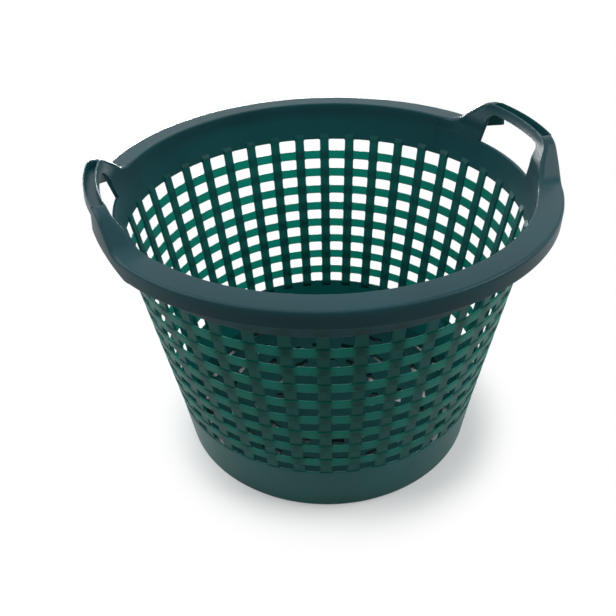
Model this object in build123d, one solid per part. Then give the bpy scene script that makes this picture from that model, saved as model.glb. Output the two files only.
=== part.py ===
from build123d import *
import math
import os

# Driving dimensions, in millimetres

# Wall: an outward leaning cone that carries hoops on the outside and ribs on the inside
wall_foot_radius = 164.3
wall_lean = 0.152
wall_thickness = 2.0

# Base band and foot
base_band_height = 57.6
foot_radius = 165.8
foot_rounding = 1.4

# Hoops
hoop_count = 8
hoop_pitch = 22.5
hoop_height = 10.3
hoop_sides = 40

# Ribs
rib_count = 40
rib_depth = 1.8
rib_width_bottom = 12.2
rib_width_top = 11.6
rib_side_draft = 0.8
rib_edge_chamfer = 0.6
rib_overlap = 7.0
rib_end_slant = 4.0

# Rim
rim_height = 296.5
rim_radius = 229.0
rim_rounding = 3.5
band_bottom = 252.0
mouth_radius = 204.8
mouth_rounding = 2.0
flange_thickness = 3.0
skirt_height = 16.5

# Handles
handle_half_width = 106.0
handle_height = 325.5
handle_slope_foot = 89.0
handle_slope_top = 58.0
handle_crown_rounding = 22.0
handle_foot_rounding = 24.0
handle_edge_chamfer = 1.2
handle_wall = 3.0
handle_wall_shift = 1.5
post_shoulder = 311.0
grip_shoulder = 318.0
grip_inner_radius = 214.0
grip_outer_radius = 226.0
grip_underside = 316.0
grip_sill = 284.0
grip_gap_top = 47.0
grip_gap_bottom = 49.5
grip_gap_rounding = 7.0
trough_half_length = 48.0
trough_bottom = 319.5
trough_border = 1.4
apron_foot = 101.0
apron_corner = 43.5
apron_corner_height = 301.8

# Floor
floor_underside = 8.0
floor_thickness = 3.5
slot_rings = [(58.0, 10), (87.0, 14), (116.0, 18), (145.0, 22)]
slot_radial_width = 7.0
slot_length_share = 0.6

# Clearance of a rib's flat back from a round band
rib_back_gap = 0.12

# Part of a rounding's radius that it takes off a square corner at 45 degrees
corner_share = 1 - math.sqrt(0.5)

# Reach of cutting tools: past the far side of a wall, and past the whole basket
cut_reach = 5.0
far_out = 300.0


def wall_radius(height):
    """Outer radius of the wall cone at a height."""
    return wall_foot_radius + wall_lean * height


def rib_back(height):
    """Distance of a rib's flat back from the centre line at a height."""
    return wall_radius(height) - wall_thickness


def band_inside(height):
    """Inner radius of the plain bands where ribs lie against them."""
    return rib_back(height) + rib_back_gap


def turned(points):
    """Solid of revolution from a closed outline of (radius, height) points."""
    outline = Polyline(*[(radius, 0, height) for radius, height in points], close=True)
    return revolve(make_face(outline), Axis.Z)


def across(half_outline, roundings):
    """Prism along X, alike on both sides, from (side, height) points of its +Y half."""
    mirrored = [(-side, height) for side, height in reversed(half_outline)]
    outline = make_face(Polyline(*half_outline, *mirrored, close=True))
    for (side, height), radius in roundings:
        corners = [v for v in outline.vertices()
                   if abs(abs(v.X) - side) < 0.01 and abs(v.Y - height) < 0.01]
        outline = fillet(corners, radius)
    return Plane.YZ.location * extrude(outline, far_out)


def hoop_block(radius, height):
    """Many sided block with flats facing the ribs, widening upward with the wall."""
    outline = RegularPolygon(radius, hoop_sides, major_radius=False, rotation=180 / hoop_sides)
    return extrude(outline, height, taper=-math.degrees(math.atan(wall_lean)))


def make_hoop(top):
    """One outside ring of the lattice wall."""
    bottom = top - hoop_height
    ring = hoop_block(wall_radius(bottom), hoop_height) - hoop_block(rib_back(bottom), hoop_height)
    return Pos(0, 0, bottom) * ring


def rib_corners(end_height, slant):
    """Corners of a rib's end face, which slopes by slant from its back to its inner side."""
    low = base_band_height - rib_overlap
    high = band_bottom + rib_overlap
    growth = (rib_width_top - rib_width_bottom) / (high - low)
    corners = []
    for depth, inset in [(0, 0), (rib_depth - rib_edge_chamfer, 0), (rib_depth, rib_edge_chamfer)]:
        share = depth / rib_depth
        height = end_height + slant * share
        half_width = (rib_width_bottom + growth * (height - low)) / 2 - rib_side_draft * share - inset
        corners.append((rib_back(height) - depth, half_width, height))
    return corners + [(distance, -half_width, height) for distance, half_width, height in reversed(corners)]


def make_rib():
    """One upright of the lattice wall, on the +X side, closed by flat faces."""
    low = rib_corners(base_band_height - rib_overlap, rib_end_slant)
    high = rib_corners(band_bottom + rib_overlap, -rib_end_slant)
    outlines = [low, high]
    for corner in range(len(low)):
        after = (corner + 1) % len(low)
        outlines.append([low[corner], low[after], high[after], high[corner]])
    faces = [make_face(Polyline(*outline, close=True)).face() for outline in outlines]
    return Solid(Shell(faces))


def make_base_band():
    """Plain ring at the bottom of the wall, with the foot the basket stands on."""
    return turned([
        (band_inside(0), 0),
        (foot_radius - foot_rounding, 0),
        (foot_radius, foot_rounding),
        (wall_radius(base_band_height), base_band_height),
        (band_inside(base_band_height), base_band_height),
    ])


def make_floor():
    """Floor disc with rings of drain slots around a plain centre."""
    top = floor_underside + floor_thickness
    disc = turned([
        (0, floor_underside),
        (band_inside(floor_underside), floor_underside),
        (band_inside(top), top),
        (0, top),
    ])
    slots = []
    for ring_radius, count in slot_rings:
        inner = ring_radius - slot_radial_width / 2
        outer = ring_radius + slot_radial_width / 2
        spread = math.tan(math.pi / count * slot_length_share)
        outline = make_face(Polyline(
            (inner, -inner * spread),
            (outer, -outer * spread),
            (outer, outer * spread),
            (inner, inner * spread),
            close=True,
        ))
        slot = Pos(0, 0, floor_underside - cut_reach) * extrude(outline, floor_thickness + 2 * cut_reach)
        slots += [Rot(0, 0, 360 * step / count) * slot for step in range(count)]
    return disc - slots


def handle_zones(bottom):
    """Two blocks over the stretches of rim that the handles take the place of."""
    block = Pos(far_out / 2, 0, bottom + far_out / 2) * Box(far_out, 2 * handle_half_width, far_out)
    return [block, Rot(0, 0, 180) * block]


def mouth_line(height):
    """Inner radius of the plain band between the rib ends and the mouth."""
    start = band_bottom + rib_overlap
    share = (height - start) / (rim_height - mouth_rounding - start)
    return band_inside(start) + share * (mouth_radius - band_inside(start))


def make_rim():
    """Plain upper band with its flange and hanging skirt, open where the handles rise."""
    skirt_bottom = rim_height - skirt_height
    under = rim_height - flange_thickness
    shoulder = rim_height - rim_rounding
    join = band_bottom + rib_overlap
    band = [
        (band_inside(band_bottom), band_bottom),
        (wall_radius(band_bottom), band_bottom),
        (wall_radius(under), under),
    ]
    flange = [
        (rim_radius - flange_thickness, under),
        (rim_radius - flange_thickness, skirt_bottom),
        (rim_radius, skirt_bottom),
        (rim_radius, shoulder),
        (rim_radius - corner_share * rim_rounding, rim_height - corner_share * rim_rounding),
        (rim_radius - rim_rounding, rim_height),
    ]
    mouth = [
        (mouth_radius + mouth_rounding, rim_height),
        (mouth_radius, rim_height - mouth_rounding),
        (band_inside(join), join),
    ]
    whole = turned(band + flange + mouth)
    low_band = turned(band[:2] + [
        (wall_radius(grip_sill), grip_sill),
        (mouth_line(grip_sill), grip_sill),
        mouth[-1],
    ])
    return whole - handle_zones(skirt_bottom - cut_reach) + low_band


def make_handle():
    """Raised grip on the +X side: a bar with a trough on top, carried by two hollow posts."""
    skirt_bottom = rim_height - skirt_height
    below = skirt_bottom - cut_reach
    above = handle_height + cut_reach
    roof = rim_height - handle_wall
    lean = (rim_radius - grip_outer_radius) / (handle_height - rim_height)
    outer_face = [
        (rim_radius - lean * (above - rim_height), above),
        (rim_radius, rim_height),
        (rim_radius, below),
    ]
    apron_inside = [(radius - handle_wall, height) for radius, height in outer_face]
    sill_inside = mouth_line(grip_sill)
    inner_face = [
        (sill_inside, below),
        (sill_inside, grip_sill),
        (mouth_radius + mouth_rounding, rim_height),
        (mouth_radius + mouth_rounding, post_shoulder),
        (grip_inner_radius, grip_shoulder),
        (grip_inner_radius, above),
    ]
    crown = (handle_slope_top, handle_height)
    foot = (handle_slope_foot, rim_height)
    arch = across(
        [(handle_half_width, skirt_bottom), (handle_half_width, rim_height), foot, crown],
        [(crown, handle_crown_rounding), (foot, handle_foot_rounding)],
    )
    body = arch & turned(inner_face + outer_face)
    upper_edges = body.edges().filter_by(lambda edge: edge.center().Z > roof)
    outer_edges = [e for e in upper_edges if math.hypot(e.center().X, e.center().Y) > grip_outer_radius - 1]
    body = chamfer(outer_edges, handle_edge_chamfer)

    hollow = turned([
        (0, below),
        (0, grip_sill),
        (wall_radius(grip_sill), grip_sill),
        (wall_radius(rim_height), rim_height),
        (mouth_radius + mouth_rounding + handle_wall, post_shoulder),
        (grip_inner_radius + handle_wall, grip_shoulder),
        (grip_inner_radius + handle_wall, above),
    ] + apron_inside)
    trough_wall = trough_half_length + handle_wall
    inner_arch = across(
        [
            (handle_half_width + 1, below),
            (handle_half_width + 1, roof),
            (handle_slope_foot - handle_wall_shift, roof),
            (handle_slope_top - handle_wall_shift, handle_height - handle_wall),
            (trough_wall, handle_height - handle_wall),
            (trough_wall, grip_underside),
        ],
        [],
    )
    finger_gap = across(
        [
            (grip_gap_bottom, below),
            (grip_gap_bottom, grip_sill),
            (grip_gap_top, grip_underside),
        ],
        [((grip_gap_top, grip_underside), grip_gap_rounding)],
    )
    apron_gap = across(
        [
            (apron_foot, below),
            (apron_foot, skirt_bottom),
            (apron_corner, apron_corner_height),
            (apron_corner, grip_underside),
        ],
        [],
    )
    apron_side = turned(apron_inside + [(far_out, below), (far_out, above)])
    trough = turned([
        (grip_inner_radius + trough_border, trough_bottom),
        (grip_outer_radius - trough_border, trough_bottom),
        (grip_outer_radius - trough_border, above),
        (grip_inner_radius + trough_border, above),
    ])
    trough_length = across([(trough_half_length, grip_underside), (trough_half_length, above)], [])
    body -= hollow & inner_arch
    body -= finger_gap - apron_side
    body -= apron_gap & apron_side
    return body - (trough & trough_length)


def save(name, solid):
    """Write one piece of the basket."""
    solid.label = name
    export_step(solid, os.path.join("parts", name + ".step"))


os.makedirs("parts", exist_ok=True)
save("floor", make_floor())
save("base_band", make_base_band())
for number in range(1, hoop_count + 1):
    save("hoop_%d" % number, make_hoop(base_band_height + number * hoop_pitch))
rib = make_rib()
for number in range(1, rib_count + 1):
    save("rib_%02d" % number, rib.rotate(Axis.Z, 360 * (number - 1) / rib_count))
save("rim", make_rim())
handle = make_handle()
save("handle_right", handle)
save("handle_left", handle.rotate(Axis.Z, 180))
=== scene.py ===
import math

import bmesh
import bpy
from mathutils import Matrix, Vector


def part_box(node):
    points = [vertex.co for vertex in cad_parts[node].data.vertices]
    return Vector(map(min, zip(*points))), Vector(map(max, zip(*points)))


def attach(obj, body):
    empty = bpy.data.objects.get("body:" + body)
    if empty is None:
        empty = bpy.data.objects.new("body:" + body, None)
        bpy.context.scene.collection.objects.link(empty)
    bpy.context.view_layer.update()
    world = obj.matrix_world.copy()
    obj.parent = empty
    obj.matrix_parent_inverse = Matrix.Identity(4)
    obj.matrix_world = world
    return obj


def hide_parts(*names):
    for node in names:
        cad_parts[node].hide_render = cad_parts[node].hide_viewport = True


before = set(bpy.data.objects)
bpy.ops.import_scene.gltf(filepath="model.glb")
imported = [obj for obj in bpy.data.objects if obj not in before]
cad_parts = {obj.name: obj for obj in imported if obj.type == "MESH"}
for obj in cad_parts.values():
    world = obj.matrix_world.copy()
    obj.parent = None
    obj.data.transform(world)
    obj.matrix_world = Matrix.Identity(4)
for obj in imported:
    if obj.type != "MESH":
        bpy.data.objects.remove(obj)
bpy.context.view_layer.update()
scene = bpy.context.scene

# Sizes are in millimetres unless a line says otherwise, and meshes are made in metres
mm = 0.001


def box_mm(node):
    """Lowest and highest corner of a CAD node, in millimetres."""
    low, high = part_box(node)
    return low / mm, high / mm


# Sizes read from the frame
hoop_names = sorted(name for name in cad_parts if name.startswith("hoop_"))
rib_names = sorted(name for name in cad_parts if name.startswith("rib_"))
hoop_boxes = [box_mm(name) for name in hoop_names]
first_hoop_top = hoop_boxes[0][1]
last_hoop_top = hoop_boxes[-1][1]
wall_lean = (last_hoop_top.x - first_hoop_top.x) / (last_hoop_top.z - first_hoop_top.z)
wall_foot_radius = first_hoop_top.x - wall_lean * first_hoop_top.z
base_height = box_mm("base_band")[1].z
rib_low, rib_high = box_mm(rib_names[0])
rim_low, rim_high = box_mm("rim")
rim_radius = rim_high.y
rim_height = rim_high.z
band_bottom = rim_low.z
handle_low, handle_high = box_mm("handle_right")
handle_height = handle_high.z
handle_half_width = handle_high.y
skirt_bottom = handle_low.z

# Wall and rim, as in the solids
wall_thickness = 2.0
foot_radius = 165.8
mouth_radius = 204.8
mouth_rounding = 2.0
rim_rounding = 3.5
flange_thickness = 3.0
rib_depth = 1.8
rib_width_bottom = 12.2
rib_width_top = 11.6
rib_side_draft = 0.8
rib_end_slant = 4.0

# Handles, as in the solids
slope_foot = 89.0
slope_top = 58.0
crown_rounding = 22.0
foot_rounding = 24.0
handle_wall = 3.0
grip_inner_radius = 214.0
grip_outer_radius = 226.0
grip_underside = 316.0
grip_sill = 284.0
grip_gap_top = 47.0
grip_gap_bottom = 49.5
grip_gap_rounding = 7.0
trough_half_length = 48.0
trough_bottom = 319.5
trough_border = 1.4
apron_foot = 101.0
apron_corner = 43.5
apron_corner_height = 301.8

# Rounded edges that the solids leave out or show as chamfers
edge_rounding = 0.9
base_edge_rounding = 1.6
flange_corner_rounding = 1.5
sill_rounding = 0.6
rib_edge_rounding = 0.8
grip_edge_rounding = 0.7
post_edge_rounding = 6.0

# Ribs stay this far inside the hoops' outer face, with rounded corners round the windows
rib_recess = 1.0
window_corner = 1.6

# Heights between which the posts' inner face turns into the bar's, in a longer bend than in the solids
post_shoulder = 300.0
grip_shoulder = 322.0

# Distances to the side of a handle's middle at which its cross-section changes
trough_end_start = trough_half_length - 0.6
trough_end_stop = trough_half_length + 0.4
post_start = trough_half_length + 2.0
post_full = trough_half_length + handle_wall
soft_edge_full = slope_top + 8.0
rim_blend_start = slope_foot - 8.0
rim_blend_full = handle_half_width - 4.0

# Fineness of the meshes
round_steps = 160
arc_steps = 3

# Point inside the basket that the lamps face, in metres
lamp_target = Vector((0, 0, 0.2))


def wall_radius(height):
    """Outer radius of the wall cone at a height."""
    return wall_foot_radius + wall_lean * height


def mouth_line(height):
    """Inner radius of the plain band between the rib ends and the mouth."""
    start = wall_radius(rib_high.z) - wall_thickness
    share = (height - rib_high.z) / (rim_height - mouth_rounding - rib_high.z)
    return start + share * (mouth_radius - start)


def between(value, start, end):
    """Share of the way from start to end, held within 0 and 1."""
    return min(max((value - start) / (end - start), 0.0), 1.0)


def eased(share):
    """Share of the way that sets off and arrives gently."""
    return share * share * (3 - 2 * share)


def rounded(corners):
    """Closed outline of points in a plane, from corners given as (first, second, rounding)."""
    outline = []
    for index, (first, second, rounding) in enumerate(corners):
        corner = Vector((first, second))
        before = Vector(corners[index - 1][:2])
        after = Vector(corners[(index + 1) % len(corners)][:2])
        if rounding == 0:
            outline.append(corner)
            continue
        back = (before - corner).normalized()
        ahead = (after - corner).normalized()
        reach = rounding / math.tan(back.angle(ahead) / 2)
        for step in range(arc_steps + 1):
            share = step / arc_steps
            outline.append(corner + back * reach * (1 - share) ** 2 + ahead * reach * share ** 2)
    return [(point.x, point.y) for point in outline]


def skin(mesh_parts, loops, ring):
    """Adds to mesh_parts the faces over loops of points, closed into a ring or capped at both ends."""
    points, faces = mesh_parts
    first = len(points)
    count = len(loops[0])
    for loop in loops:
        points.extend(loop)
    for turn in range(len(loops) if ring else len(loops) - 1):
        here = first + turn * count
        there = first + (turn + 1) % len(loops) * count
        for step in range(count):
            after = (step + 1) % count
            faces.append((here + step, here + after, there + after, there + step))
    if not ring:
        faces.append(tuple(first + step for step in range(count)))
        faces.append(tuple(first + (len(loops) - 1) * count + step for step in range(count)))


def make_piece(name, mesh_parts, material, *nodes):
    """Mesh object in metres from points in millimetres, standing for CAD nodes."""
    crease_angle = math.radians(38)
    points, faces = mesh_parts
    mesh = bpy.data.meshes.new(name)
    mesh.from_pydata([Vector(point) * mm for point in points], [], faces)
    shaped = bmesh.new()
    shaped.from_mesh(mesh)
    bmesh.ops.recalc_face_normals(shaped, faces=shaped.faces)
    shaped.to_mesh(mesh)
    shaped.free()
    mesh.shade_smooth()
    mesh.set_sharp_from_angle(angle=crease_angle)
    mesh.materials.append(material)
    piece = bpy.data.objects.new(name, mesh)
    scene.collection.objects.link(piece)
    shading = piece.modifiers.new("even_shading", "WEIGHTED_NORMAL")
    shading.keep_sharp = True
    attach(piece, "root")
    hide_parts(*nodes)


def turned(outline):
    """Loops of a full ring with the given (radius, height) outline."""
    loops = []
    for step in range(round_steps):
        angle = 2 * math.pi * step / round_steps
        loops.append([(radius * math.cos(angle), radius * math.sin(angle), height)
                      for radius, height in outline])
    return loops


def make_hoop(name, low, high, material):
    """One outside ring of the lattice wall, with rounded edges."""
    outline = rounded([
        (wall_radius(low.z) - wall_thickness, low.z, edge_rounding),
        (wall_radius(low.z), low.z, edge_rounding),
        (wall_radius(high.z), high.z, edge_rounding),
        (wall_radius(high.z) - wall_thickness, high.z, edge_rounding),
    ])
    parts = ([], [])
    skin(parts, turned(outline), ring=True)
    make_piece(name + "_moulded", parts, material, name)


def rib_loop(height, slant, stand_out, flare):
    """Cross-section of a rib on the +X side, its inner side raised by slant, its outer side flared."""
    share = (height - rib_low.z) / (rib_high.z - rib_low.z)
    half = (rib_width_bottom + share * (rib_width_top - rib_width_bottom)) / 2
    back = wall_radius(height) - wall_thickness
    section = rounded([
        (-stand_out, -half - flare, rib_edge_rounding),
        (-stand_out, half + flare, rib_edge_rounding),
        (rib_depth, half - rib_side_draft, edge_rounding),
        (rib_depth, rib_side_draft - half, edge_rounding),
    ])
    loop = []
    for depth, side in section:
        rise = slant * depth / rib_depth
        loop.append((back + wall_lean * rise - depth, side, height + rise))
    return loop


def make_rib(name, angle, material):
    """One upright of the lattice wall, with ramped ends, that fills the wall between the windows."""
    step_height = 0.1
    corner_steps = 2
    row_bottoms = [base_height] + [high.z for low, high in hoop_boxes]
    row_tops = [low.z for low, high in hoop_boxes] + [band_bottom]
    corner = []
    for step in range(corner_steps + 1):
        bend = math.pi / 2 * step / corner_steps
        corner.append((window_corner * (1 - math.cos(bend)), window_corner * (1 - math.sin(bend))))
    stand_out = wall_thickness - rib_recess
    loops = [rib_loop(rib_low.z, rib_end_slant, 0, 0)]
    for bottom, top in zip(row_bottoms, row_tops):
        loops.append(rib_loop(bottom, 0, 0, 0))
        loops += [rib_loop(bottom + step_height + rise, 0, stand_out, flare) for rise, flare in corner]
        loops += [rib_loop(top - step_height - drop, 0, stand_out, flare)
                  for drop, flare in reversed(corner)]
        loops.append(rib_loop(top, 0, 0, 0))
    loops.append(rib_loop(rib_high.z, -rib_end_slant, 0, 0))
    turn = Matrix.Rotation(angle, 3, "Z")
    parts = ([], [])
    skin(parts, [[turn @ Vector(point) for point in loop] for loop in loops], ring=False)
    make_piece(name + "_moulded", parts, material, name)


def make_base_band(material):
    """Plain ring at the bottom of the wall, with a rounded foot."""
    outline = rounded([
        (wall_radius(0) - wall_thickness, 0, edge_rounding),
        (foot_radius, 0, base_edge_rounding),
        (wall_radius(base_height), base_height, edge_rounding),
        (wall_radius(base_height) - wall_thickness, base_height, edge_rounding),
    ])
    parts = ([], [])
    skin(parts, turned(outline), ring=True)
    make_piece("base_band_moulded", parts, material, "base_band")


def between_handles(outline, turn_share, flip):
    """One cross-section of the rim, turn_share of the way from one handle's edge to the other's."""
    loop = []
    for radius, height in outline:
        edge = math.asin(handle_half_width / radius)
        angle = edge + turn_share * (math.pi - 2 * edge)
        loop.append((radius * math.cos(angle), flip * radius * math.sin(angle), height))
    return loop


def across_handle(outline, side, flip):
    """One cross-section through a handle's stretch of rim, at a distance to the side of its middle."""
    return [(flip * math.sqrt(radius * radius - side * side), side, height) for radius, height in outline]


def make_rim(material):
    """Plain upper band with flange and skirt, and the low band that runs on under the handles."""
    arc_count = 110
    band_count = 60
    under = rim_height - flange_thickness
    lower = [
        (wall_radius(band_bottom) - wall_thickness, band_bottom, edge_rounding),
        (wall_radius(band_bottom), band_bottom, edge_rounding),
    ]
    inside = (wall_radius(rib_high.z) - wall_thickness, rib_high.z, 0)
    full = rounded(lower + [
        (wall_radius(under), under, flange_corner_rounding),
        (rim_radius - flange_thickness, under, flange_corner_rounding),
        (rim_radius - flange_thickness, skirt_bottom, edge_rounding),
        (rim_radius, skirt_bottom, edge_rounding),
        (rim_radius, rim_height, rim_rounding),
        (mouth_radius, rim_height, mouth_rounding),
        inside,
    ])
    low_band = rounded(lower + [
        (wall_radius(grip_sill), grip_sill, sill_rounding),
        (mouth_line(grip_sill), grip_sill, sill_rounding),
        inside,
    ])
    parts = ([], [])
    for flip in (1, -1):
        skin(parts, [between_handles(full, step / arc_count, flip)
                     for step in range(arc_count + 1)], ring=False)
        skin(parts, [across_handle(low_band, (2 * step / band_count - 1) * handle_half_width, flip)
                     for step in range(band_count + 1)], ring=False)
    make_piece("rim_moulded", parts, material, "rim")


def arch_top(side, drop=0.0):
    """Height of the handle's upper face at a distance to the side, or of a line a wall's drop below it."""
    slope = math.atan2(handle_height - rim_height, slope_foot - slope_top)
    crown = crown_rounding - drop
    foot = foot_rounding + drop
    crown_middle = slope_top - crown_rounding * math.tan(slope / 2)
    foot_middle = slope_foot + foot_rounding * math.tan(slope / 2)
    side = abs(side)
    if side <= crown_middle:
        return handle_height - drop
    if side <= crown_middle + crown * math.sin(slope):
        return handle_height - crown_rounding + math.sqrt(crown ** 2 - (side - crown_middle) ** 2)
    if side >= foot_middle:
        return rim_height - drop
    if side >= foot_middle - foot * math.sin(slope):
        return rim_height + foot_rounding - math.sqrt(foot ** 2 - (foot_middle - side) ** 2)
    on_slope = handle_height - crown_rounding + crown * math.cos(slope)
    return on_slope - (side - crown_middle - crown * math.sin(slope)) * math.tan(slope)


def inner_bottom(side):
    """Height of the lower edge of the handle's inner wall: the finger gap's outline, then the sill."""
    side = abs(side)
    corner = grip_gap_top - grip_gap_rounding
    if side <= corner:
        return grip_underside
    low = grip_underside - grip_gap_rounding
    if side <= grip_gap_top:
        return low + math.sqrt(grip_gap_rounding ** 2 - (side - corner) ** 2)
    return low + between(side, grip_gap_top, grip_gap_bottom) * (grip_sill - low)


def outer_bottom(side):
    """Height of the lower edge of the handle's outer wall: under the bar, then the apron's sloping edge."""
    side = abs(side)
    if side <= apron_corner:
        return grip_underside
    share = between(side, apron_corner, apron_foot)
    return apron_corner_height + share * (skirt_bottom - apron_corner_height)


def inner_face(height, side):
    """Radius of the handle's inner face: along the band, up the posts and set back along the bar."""
    post_foot_share = 0.8
    edge = rim_height - mouth_rounding
    sill = mouth_line(grip_sill)
    post = mouth_radius + mouth_rounding
    straight = sill + post_foot_share * (post - sill)
    blend = between(abs(side), rim_blend_start, rim_blend_full)
    at_edge = straight + blend * (mouth_radius - straight)
    if height <= edge:
        return sill + between(height, grip_sill, edge) * (at_edge - sill)
    if height <= rim_height:
        return at_edge + between(height, edge, rim_height) * (post - at_edge)
    return post + eased(between(height, post_shoulder, grip_shoulder)) * (grip_inner_radius - post)


def inner_heights(low, high):
    """Heights from low to high for points of the inner face: at its bends and along its shoulder."""
    least_step = 0.02
    shoulder_steps = 6
    rise = (grip_shoulder - post_shoulder) / shoulder_steps
    bends = [rim_height - mouth_rounding, rim_height]
    bends += [post_shoulder + rise * step for step in range(shoulder_steps + 1)]
    heights = [low]
    for index, bend in enumerate(bends):
        highest = high - least_step * (len(bends) - index)
        heights.append(min(max(bend, heights[-1] + least_step), highest))
    return heights + [high]


def outer_face(height):
    """Radius of the handle's outer face, which leans inward above the rim."""
    return rim_radius - between(height, rim_height, handle_height) * (rim_radius - grip_outer_radius)


def inner_edge_rounding(side):
    """Rounding of the handle's inner upper edge: crisp along the bar, soft down the posts."""
    down = between(abs(side), trough_half_length, soft_edge_full)
    foot = between(abs(side), rim_blend_start, rim_blend_full)
    soft = grip_edge_rounding + down * (post_edge_rounding - grip_edge_rounding)
    return soft + foot * (mouth_rounding - soft)


def handle_section(side):
    """Closed outline of (radius, height) points through a handle, at a distance from its middle."""
    edge_steps = 5
    outer_steps = 6
    least_wall = 0.05
    least_trough = 0.02
    trough_draft = 0.4
    inner_margin = 0.3
    outer_margin = 0.2
    top = arch_top(side)
    in_trough = 1 - between(abs(side), trough_end_start, trough_end_stop)
    in_post = between(abs(side), post_start, post_full)
    roof = grip_underside + in_post * (arch_top(side, handle_wall) - grip_underside)
    wall_low = min(inner_bottom(side), roof - least_wall)
    apron_low = min(outer_bottom(side), roof - least_wall)

    # Up the inner face and round its upper edge
    edge = inner_edge_rounding(side)
    shoulder = top - edge
    outline = [(inner_face(height, side), height) for height in inner_heights(wall_low, shoulder)]
    start = outline[-1][0]
    for step in range(1, edge_steps + 1):
        turn = math.pi / 2 * step / edge_steps
        outline.append((start + edge * (1 - math.cos(turn)), shoulder + edge * math.sin(turn)))

    # Down into the trough and out of it, which is next to nothing on the posts
    trough_floor = top - least_trough - in_trough * (top - trough_bottom)
    trough_in = start + max(trough_border, edge + inner_margin)
    post_border = max(trough_border, rim_rounding + outer_margin)
    trough_out = outer_face(top) - post_border - in_trough * (trough_border - post_border)
    outline += [
        (trough_in, top),
        (trough_in + trough_draft, trough_floor),
        (trough_out - trough_draft, trough_floor),
        (trough_out, top),
    ]

    # Round the outer edge and down to the apron's lower edge
    round_over = rim_rounding + in_trough * (grip_edge_rounding - rim_rounding)
    outer_shoulder = top - round_over
    for step in range(arc_steps + 2):
        turn = math.pi / 2 * step / (arc_steps + 1)
        outline.append((outer_face(outer_shoulder) - round_over * (1 - math.sin(turn)),
                        top - round_over * (1 - math.cos(turn))))
    for step in range(1, outer_steps + 1):
        height = outer_shoulder + (apron_low - outer_shoulder) * step / outer_steps
        outline.append((outer_face(height), height))

    # Up the back of the apron, under the roof and down the back of the inner wall
    outline.append((outer_face(apron_low) - handle_wall, apron_low))
    outline.append((outer_face(roof) - handle_wall, roof))
    outline.append((max(inner_face(roof, side) + handle_wall, wall_radius(rim_height)), roof))
    outline.append((max(inner_face(wall_low, side) + handle_wall, wall_radius(grip_sill)), wall_low))
    return outline


def handle_stations():
    """Distances to the side at which a handle's cross-sections are taken, close together at its edges."""
    step_width = 0.1
    widest_gap = 1.5
    corner_steps = 8
    edges = [
        grip_gap_top - grip_gap_rounding,
        grip_gap_top,
        grip_gap_bottom,
        grip_gap_bottom + step_width,
        apron_corner,
        apron_corner + step_width,
        apron_foot,
        trough_end_start,
        trough_end_stop,
        post_start,
        post_full,
    ]
    for step in range(1, corner_steps):
        turn = math.pi / 2 * step / corner_steps
        edges.append(grip_gap_top - grip_gap_rounding * (1 - math.sin(turn)))
    step_count = int(handle_half_width / widest_gap)
    half = sorted(set(edges + [handle_half_width * step / step_count for step in range(step_count + 1)]))
    return [-side for side in reversed(half[1:])] + half


def make_handle(name, flip, material):
    """Raised grip: a bar with a trough on top, carried by two hollow sloping posts."""
    parts = ([], [])
    skin(parts, [across_handle(handle_section(side), side, flip) for side in handle_stations()], ring=False)
    make_piece(name + "_moulded", parts, material, name)


def plastic(name, colour, gloss, glow, glow_colour):
    """Moulded plastic with a satin grain; glow is the share of its light that passes through."""
    tint_spread = 0.12
    material = bpy.data.materials.new(name)
    material.use_nodes = True
    nodes = material.node_tree.nodes
    links = material.node_tree.links
    body = nodes["Principled BSDF"]
    body.inputs["Specular IOR Level"].default_value = gloss

    place = nodes.new("ShaderNodeTexCoord")
    cloud = nodes.new("ShaderNodeTexNoise")
    cloud.inputs["Scale"].default_value = 14
    cloud.inputs["Detail"].default_value = 4
    links.new(place.outputs["Object"], cloud.inputs["Vector"])
    tint = nodes.new("ShaderNodeValToRGB")
    tint.color_ramp.elements[0].position = 0.3
    tint.color_ramp.elements[0].color = (*[part * (1 - tint_spread) for part in colour], 1)
    tint.color_ramp.elements[1].position = 0.7
    tint.color_ramp.elements[1].color = (*[part * (1 + tint_spread) for part in colour], 1)
    links.new(cloud.outputs["Fac"], tint.inputs["Fac"])
    links.new(tint.outputs["Color"], body.inputs["Base Color"])

    sheen = nodes.new("ShaderNodeMapRange")
    sheen.inputs["To Min"].default_value = 0.30
    sheen.inputs["To Max"].default_value = 0.42
    links.new(cloud.outputs["Fac"], sheen.inputs["Value"])
    links.new(sheen.outputs["Result"], body.inputs["Roughness"])

    grain = nodes.new("ShaderNodeTexNoise")
    grain.inputs["Scale"].default_value = 900
    grain.inputs["Detail"].default_value = 2
    links.new(place.outputs["Object"], grain.inputs["Vector"])
    bump = nodes.new("ShaderNodeBump")
    bump.inputs["Strength"].default_value = 0.12
    bump.inputs["Distance"].default_value = 0.0004
    links.new(grain.outputs["Fac"], bump.inputs["Height"])
    links.new(bump.outputs["Normal"], body.inputs["Normal"])

    through = nodes.new("ShaderNodeBsdfTranslucent")
    through.inputs["Color"].default_value = (*glow_colour, 1)
    mix = nodes.new("ShaderNodeMixShader")
    mix.inputs["Fac"].default_value = glow
    links.new(body.outputs["BSDF"], mix.inputs[1])
    links.new(through.outputs["BSDF"], mix.inputs[2])
    links.new(mix.outputs["Shader"], nodes["Material Output"].inputs["Surface"])
    return material


def looked_at(nodes, links):
    """Socket that is 1 for rays that show a surface, straight, mirrored or through plastic, and else 0."""
    rays = nodes.new("ShaderNodeLightPath")
    seen = nodes.new("ShaderNodeMath")
    seen.operation = "MAXIMUM"
    links.new(rays.outputs["Is Camera Ray"], seen.inputs[0])
    links.new(rays.outputs["Is Glossy Ray"], seen.inputs[1])
    seen_through = nodes.new("ShaderNodeMath")
    seen_through.operation = "MAXIMUM"
    links.new(seen.outputs["Value"], seen_through.inputs[0])
    links.new(rays.outputs["Is Transmission Ray"], seen_through.inputs[1])
    return seen_through.outputs["Value"]


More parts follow.
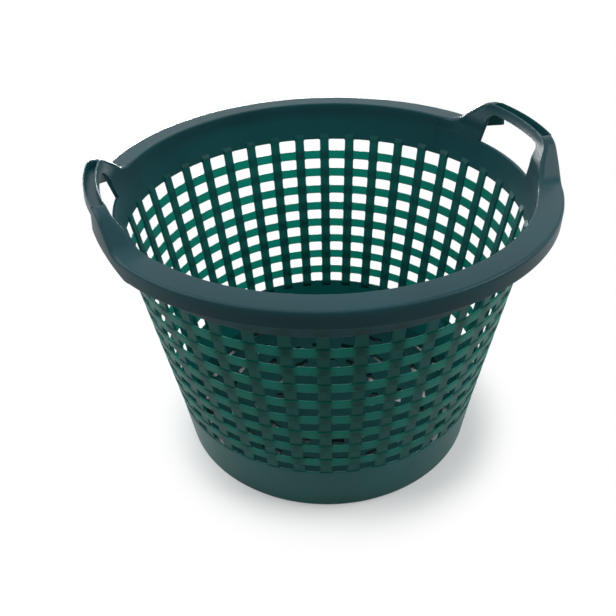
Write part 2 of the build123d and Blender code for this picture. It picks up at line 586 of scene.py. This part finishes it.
def make_floor():
    """Pale floor, in metres, that darkens further off and shows as plain white outside the shadow."""
    half_side = 12.0
    shadow_middle = (0.006, -0.010, 0)
    corners = [
        (-half_side, -half_side, 0),
        (half_side, -half_side, 0),
        (half_side, half_side, 0),
        (-half_side, half_side, 0),
    ]
    mesh = bpy.data.meshes.new("ground")
    mesh.from_pydata(corners, [], [(0, 1, 2, 3)])
    ground = bpy.data.objects.new("ground", mesh)
    ground.location = shadow_middle
    scene.collection.objects.link(ground)
    material = bpy.data.materials.new("pale_floor")
    material.use_nodes = True
    nodes = material.node_tree.nodes
    links = material.node_tree.links
    body = nodes["Principled BSDF"]
    body.inputs["Roughness"].default_value = 0.9
    place = nodes.new("ShaderNodeTexCoord")
    distance = nodes.new("ShaderNodeVectorMath")
    distance.operation = "LENGTH"
    links.new(place.outputs["Object"], distance.inputs[0])

    sweep = nodes.new("ShaderNodeMapRange")
    sweep.interpolation_type = "SMOOTHSTEP"
    sweep.inputs["From Min"].default_value = 0.3
    sweep.inputs["From Max"].default_value = 0.55
    links.new(distance.outputs["Value"], sweep.inputs["Value"])
    paper = nodes.new("ShaderNodeValToRGB")
    paper.color_ramp.elements[0].color = (0.9, 0.9, 0.9, 1)
    paper.color_ramp.elements[1].color = (0.15, 0.15, 0.15, 1)
    links.new(sweep.outputs["Result"], paper.inputs["Fac"])
    links.new(paper.outputs["Color"], body.inputs["Base Color"])

    white = nodes.new("ShaderNodeEmission")
    white.inputs["Strength"].default_value = 1.0
    fade = nodes.new("ShaderNodeMapRange")
    fade.interpolation_type = "SMOOTHSTEP"
    fade.inputs["From Min"].default_value = 0.165
    fade.inputs["From Max"].default_value = 0.225
    links.new(distance.outputs["Value"], fade.inputs["Value"])
    shown = nodes.new("ShaderNodeMath")
    shown.operation = "MULTIPLY"
    links.new(fade.outputs["Result"], shown.inputs[0])
    links.new(looked_at(nodes, links), shown.inputs[1])
    mix = nodes.new("ShaderNodeMixShader")
    links.new(shown.outputs["Value"], mix.inputs["Fac"])
    links.new(body.outputs["BSDF"], mix.inputs[1])
    links.new(white.outputs["Emission"], mix.inputs[2])
    links.new(mix.outputs["Shader"], nodes["Material Output"].inputs["Surface"])
    mesh.materials.append(material)


def make_world():
    """Even dim surroundings that show as plain white behind the object."""
    world = bpy.data.worlds.new("studio")
    world.use_nodes = True
    nodes = world.node_tree.nodes
    links = world.node_tree.links
    surroundings = nodes["Background"]
    surroundings.inputs["Color"].default_value = (1, 1, 1, 1)
    strength = nodes.new("ShaderNodeMapRange")
    strength.inputs["To Min"].default_value = 0.15
    strength.inputs["To Max"].default_value = 1.0
    links.new(looked_at(nodes, links), strength.inputs["Value"])
    links.new(strength.outputs["Result"], surroundings.inputs["Strength"])
    scene.world = world


def add_softbox(name, place, width, height, power):
    """Rectangular area light facing the basket, in metres and watts."""
    lamp = bpy.data.lights.new(name, "AREA")
    lamp.shape = "RECTANGLE"
    lamp.size = width
    lamp.size_y = height
    lamp.energy = power
    holder = bpy.data.objects.new(name, lamp)
    holder.location = place
    holder.rotation_euler = (lamp_target - Vector(place)).to_track_quat("-Z", "Y").to_euler()
    scene.collection.objects.link(holder)


def add_camera(place, turn_right, look_down, roll):
    """Camera at a place in metres, facing +Y and then turned by angles in degrees."""
    lens = bpy.data.cameras.new("camera")
    lens.sensor_width = 36
    lens.lens = 40.71
    lens.clip_start = 0.01
    camera = bpy.data.objects.new("camera", lens)
    heading = Matrix.Rotation(-math.radians(turn_right), 4, "Z")
    tilt = Matrix.Rotation(math.radians(90 - look_down), 4, "X")
    lean = Matrix.Rotation(math.radians(roll), 4, "Z")
    camera.matrix_world = Matrix.Translation(place) @ heading @ tilt @ lean
    scene.collection.objects.link(camera)
    scene.camera = camera


# Same teal plastic as the band and lattice in a darker tone: painted shade on the rim and handles, for
# their dim skirt and inner faces
rim_plastic_painted_shade = plastic(
    "rim_plastic_painted_shade", colour=(0.007, 0.038, 0.048), gloss=0.13, glow=0.13, glow_colour=(0.0, 0.64, 0.60))
band_plastic = plastic(
    "band_plastic", colour=(0.006, 0.070, 0.069), gloss=0.12, glow=0.13, glow_colour=(0.0, 0.62, 0.58))
hoop_plastic = plastic(
    "hoop_plastic", colour=(0.004, 0.064, 0.056), gloss=0.07, glow=0.23, glow_colour=(0.05, 0.86, 0.71))
rib_plastic = plastic(
    "rib_plastic", colour=(0.006, 0.058, 0.057), gloss=0.07, glow=0.14, glow_colour=(0.05, 0.76, 0.65))
# Same teal plastic in a darker, duller tone: painted shade for the basket's floor, which lies in shade
# inside
floor_plastic_painted_shade = plastic(
    "floor_plastic_painted_shade", colour=(0.004, 0.038, 0.038), gloss=0.05, glow=0.03, glow_colour=(0.0, 0.62, 0.50))

for name, (low, high) in zip(hoop_names, hoop_boxes):
    make_hoop(name, low, high, hoop_plastic)
for number, name in enumerate(rib_names):
    make_rib(name, 2 * math.pi * number / len(rib_names), rib_plastic)
make_base_band(band_plastic)
make_rim(rim_plastic_painted_shade)
make_handle("handle_right", 1, rim_plastic_painted_shade)
make_handle("handle_left", -1, rim_plastic_painted_shade)
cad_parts["floor"].data.materials.clear()
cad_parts["floor"].data.materials.append(floor_plastic_painted_shade)

make_floor()
make_world()
add_softbox("top_light", place=(-0.1, 0.0, 1.4), width=1.2, height=1.2, power=8)
add_softbox("back_light", place=(0.3, 2.0, 1.75), width=4.0, height=1.3, power=15)
add_softbox("low_back_light", place=(0, 1.8, 0.17), width=1.8, height=0.22, power=60)
add_softbox("right_light", place=(1.2, -0.55, 1.25), width=1.0, height=1.0, power=19)
add_softbox("left_light", place=(-1.2, 0.3, 1.2), width=1.2, height=1.2, power=18)
add_softbox("front_light", place=(-0.6, -1.8, 1.3), width=1.2, height=1.2, power=2)
add_camera(place=(-0.1891, -0.6073, 0.5963), turn_right=15.52, look_down=35.95, roll=-2.10)

scene.view_settings.view_transform = "Standard"
